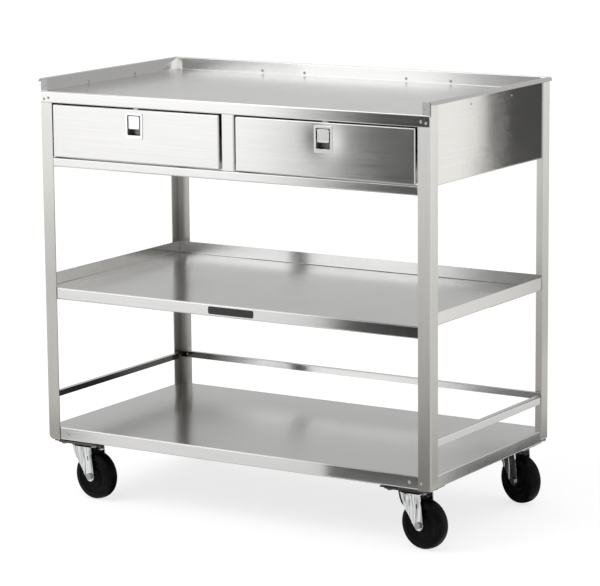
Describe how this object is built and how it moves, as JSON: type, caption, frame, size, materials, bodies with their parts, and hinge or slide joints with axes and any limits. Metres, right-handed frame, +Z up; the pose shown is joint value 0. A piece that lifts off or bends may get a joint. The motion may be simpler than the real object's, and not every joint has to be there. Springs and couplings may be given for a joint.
{
  "type": "instrument cart",
  "caption": "Stainless steel instrument cart: railed top tray over latched drawers, open middle and lower shelves on angle legs, and swivel casters.",
  "frame": {"origin": "on the floor, under the centre of the cart", "axes": "+X to the cart's right, -Y towards its front, where the drawers open, +Z up"},
  "size_m": [0.9479, 0.5101, 0.89],
  "materials": {
    "stainless_sheet": "fine brushed stainless sheet",
    "stainless_fronts": "brushed stainless, grain along the width",
    "stainless_legs": "brushed stainless, grain along the length",
    "rivet_steel": "bright pressed rivet",
    "runner_steel": "galvanised roll-formed steel",
    "latch_steel": "plain spring steel",
    "pull_satin": "satin stainless pressing",
    "zinc_plate": "bright zinc plate",
    "zinc_fasteners": "bright zinc plated hardware",
    "wheel_rubber": "hard black rubber, satin",
    "nameplate_black": "satin black enamel, blank"
  },
  "bodies": {
    "frame": {"caster_bolts": "zinc_fasteners", "caster_pads": "zinc_plate", "drawer_divider": "stainless_sheet", "drawer_rail": "stainless_sheet", "front_left_caster_plate": "zinc_plate", "front_left_leg": "stainless_legs", "front_right_caster_plate": "zinc_plate", "front_right_leg": "stainless_legs", "guard_rail_rivets": "rivet_steel", "latch_strikes": "stainless_sheet", "left_guard_rail": "stainless_sheet", "left_outer_runners": "runner_steel", "left_side_panel": "stainless_sheet", "lower_shelf": "stainless_sheet", "lower_shelf_rivets": "rivet_steel", "lower_shelf_stiffener": "stainless_sheet", "middle_shelf": "stainless_sheet", "middle_shelf_stiffener": "stainless_sheet", "nameplate": "nameplate_black", "rear_guard_rail": "stainless_sheet", "rear_left_caster_plate": "zinc_plate", "rear_left_leg": "stainless_legs", "rear_panel": "stainless_sheet", "rear_right_caster_plate": "zinc_plate", "rear_right_leg": "stainless_legs", "right_guard_rail": "stainless_sheet", "right_outer_runners": "runner_steel", "right_side_panel": "stainless_sheet", "skirt_rivets": "rivet_steel", "splash_rivets": "rivet_steel", "top_shelf": "stainless_sheet"},
    "left_drawer": {"left_inner_runners": "runner_steel", "left_drawer_box": "stainless_sheet", "left_drawer_front": "stainless_fronts", "left_pull_cup": "pull_satin", "left_paddle_pin": "latch_steel", "left_paddle_spring": "latch_steel"},
    "left_paddle": {"left_paddle": "pull_satin"},
    "left_latch_tongue": {"left_latch_tongue": "latch_steel"},
    "right_drawer": {"right_inner_runners": "runner_steel", "right_drawer_box": "stainless_sheet", "right_drawer_front": "stainless_fronts", "right_pull_cup": "pull_satin", "right_paddle_pin": "latch_steel", "right_paddle_spring": "latch_steel"},
    "right_paddle": {"right_paddle": "pull_satin"},
    "right_latch_tongue": {"right_latch_tongue": "latch_steel"},
    "front_left_swivel": {"front_left_caster_fork": "zinc_plate", "front_left_caster_axle": "zinc_fasteners"},
    "front_left_wheel": {"front_left_caster_wheel": "wheel_rubber"},
    "front_right_swivel": {"front_right_caster_fork": "zinc_plate", "front_right_caster_axle": "zinc_fasteners"},
    "front_right_wheel": {"front_right_caster_wheel": "wheel_rubber"},
    "rear_left_swivel": {"rear_left_caster_fork": "zinc_plate", "rear_left_caster_axle": "zinc_fasteners"},
    "rear_left_wheel": {"rear_left_caster_wheel": "wheel_rubber"},
    "rear_right_swivel": {"rear_right_caster_fork": "zinc_plate", "rear_right_caster_axle": "zinc_fasteners"},
    "rear_right_wheel": {"rear_right_caster_wheel": "wheel_rubber"}
  },
  "joints": [
    {"name": "left_drawer_slide", "type": "slide", "parent": "frame", "child": "left_drawer", "axis": [0, -1, 0], "range_m": [0, 0.33]},
    {"name": "left_paddle_hinge", "type": "hinge", "parent": "left_drawer", "child": "left_paddle", "pos_m": [-0.2247, -0.2508, 0.8213], "axis": [-1, 0, 0], "range_deg": [0, 30], "stiffness_Nm_per_rad": 0.04, "springref_deg": -22.92},
    {"name": "left_latch_slide", "type": "slide", "parent": "left_drawer", "child": "left_latch_tongue", "axis": [0, 0, -1], "range_m": [0, 0.0029]},
    {"name": "right_drawer_slide", "type": "slide", "parent": "frame", "child": "right_drawer", "axis": [0, -1, 0], "range_m": [0, 0.33]},
    {"name": "right_paddle_hinge", "type": "hinge", "parent": "right_drawer", "child": "right_paddle", "pos_m": [0.2247, -0.2508, 0.8213], "axis": [-1, 0, 0], "range_deg": [0, 30], "stiffness_Nm_per_rad": 0.04, "springref_deg": -22.92},
    {"name": "right_latch_slide", "type": "slide", "parent": "right_drawer", "child": "right_latch_tongue", "axis": [0, 0, -1], "range_m": [0, 0.0029]},
    {"name": "front_left_caster_swivel", "type": "hinge", "parent": "frame", "child": "front_left_swivel", "pos_m": [-0.3976, -0.209, 0.1135], "axis": [0, 0, 1], "continuous": true},
    {"name": "front_left_wheel_spin", "type": "hinge", "parent": "front_left_swivel", "child": "front_left_wheel", "pos_m": [-0.36599, -0.21401, 0.0508], "axis": [0.1564, 0.9877, 0], "continuous": true},
    {"name": "front_right_caster_swivel", "type": "hinge", "parent": "frame", "child": "front_right_swivel", "pos_m": [0.3976, -0.209, 0.1135], "axis": [0, 0, 1], "continuous": true},
    {"name": "front_right_wheel_spin", "type": "hinge", "parent": "front_right_swivel", "child": "front_right_wheel", "pos_m": [0.42921, -0.21401, 0.0508], "axis": [0.1564, 0.9877, 0], "continuous": true},
    {"name": "rear_left_caster_swivel", "type": "hinge", "parent": "frame", "child": "rear_left_swivel", "pos_m": [-0.3976, 0.209, 0.1135], "axis": [0, 0, 1], "continuous": true},
    {"name": "rear_left_wheel_spin", "type": "hinge", "parent": "rear_left_swivel", "child": "rear_left_wheel", "pos_m": [-0.36669, 0.20072, 0.0508], "axis": [0.2588, 0.9659, 0], "continuous": true},
    {"name": "rear_right_caster_swivel", "type": "hinge", "parent": "frame", "child": "rear_right_swivel", "pos_m": [0.3976, 0.209, 0.1135], "axis": [0, 0, 1], "continuous": true},
    {"name": "rear_right_wheel_spin", "type": "hinge", "parent": "rear_right_swivel", "child": "rear_right_wheel", "pos_m": [0.42747, 0.19753, 0.0508], "axis": [0.3584, 0.9336, 0], "continuous": true}
  ],
  "couplings": [
    {"joint": "left_latch_slide", "follows": "left_paddle_hinge", "m_per_rad": 0.0055},
    {"joint": "right_latch_slide", "follows": "right_paddle_hinge", "m_per_rad": 0.0055}
  ]
}
